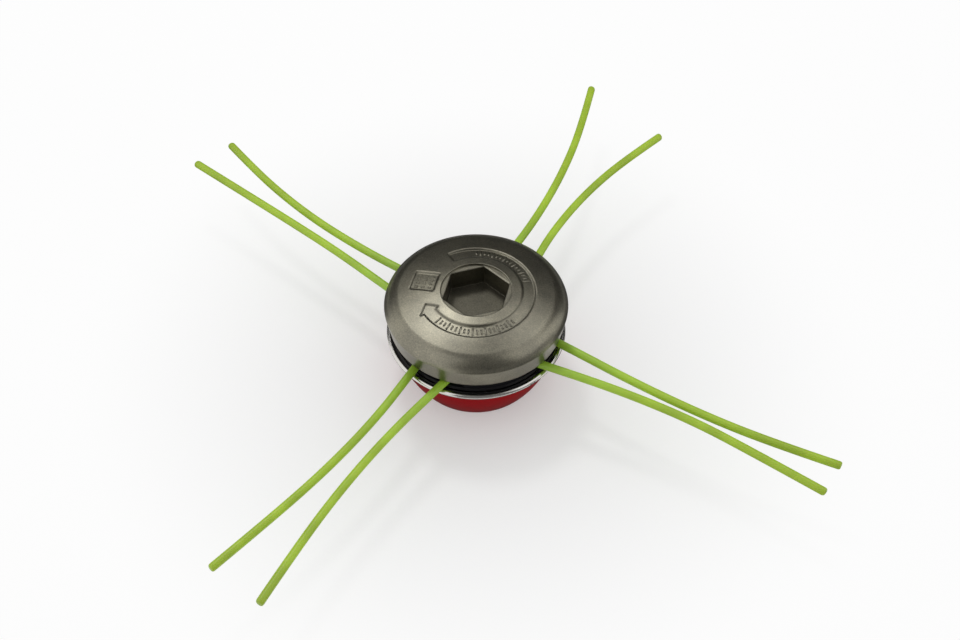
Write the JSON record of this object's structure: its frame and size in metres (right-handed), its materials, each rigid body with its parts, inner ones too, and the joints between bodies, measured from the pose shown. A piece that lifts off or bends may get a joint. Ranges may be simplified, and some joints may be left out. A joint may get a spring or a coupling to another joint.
{
  "type": "fixed line trimmer head",
  "caption": "Fixed line trimmer head with a cast metal dome, a key socket in its crown and cut nylon lines looped round guide posts.",
  "frame": {"origin": "middle of the gearbox face, on the turning axis", "axes": "+Z along the turning axis from the gearbox towards the dome, +X along one pair of line ends, +Y along the next pair"},
  "size_m": [0.3741, 0.3663, 0.0564],
  "materials": {
    "cast_dome": "satin die-cast aluminium",
    "black_nylon": "moulded glass-filled nylon",
    "polished_steel": "polished stainless steel",
    "red_hub": "glossy moulded nylon",
    "plated_steel": "zinc plated steel",
    "spring_steel": "blackened spring steel",
    "brass_insert": "turned brass",
    "green_line": "extruded nylon monofilament"
  },
  "bodies": {
    "root": {"dome_cover": "cast_dome", "line_guide": "black_nylon", "wear_ring": "polished_steel", "hub_body": "red_hub", "arbor": "plated_steel", "thrust_washer": "plated_steel", "arbor_circlip": "spring_steel", "lock_washer": "spring_steel", "guide_screw_1": "plated_steel", "guide_screw_2": "plated_steel", "guide_screw_3": "plated_steel", "guide_screw_4": "plated_steel", "screw_insert_1": "brass_insert", "screw_insert_2": "brass_insert", "screw_insert_3": "brass_insert", "screw_insert_4": "brass_insert", "line_1": "green_line", "line_2": "green_line", "line_3": "green_line", "line_4": "green_line"}
  },
  "joints": []
}
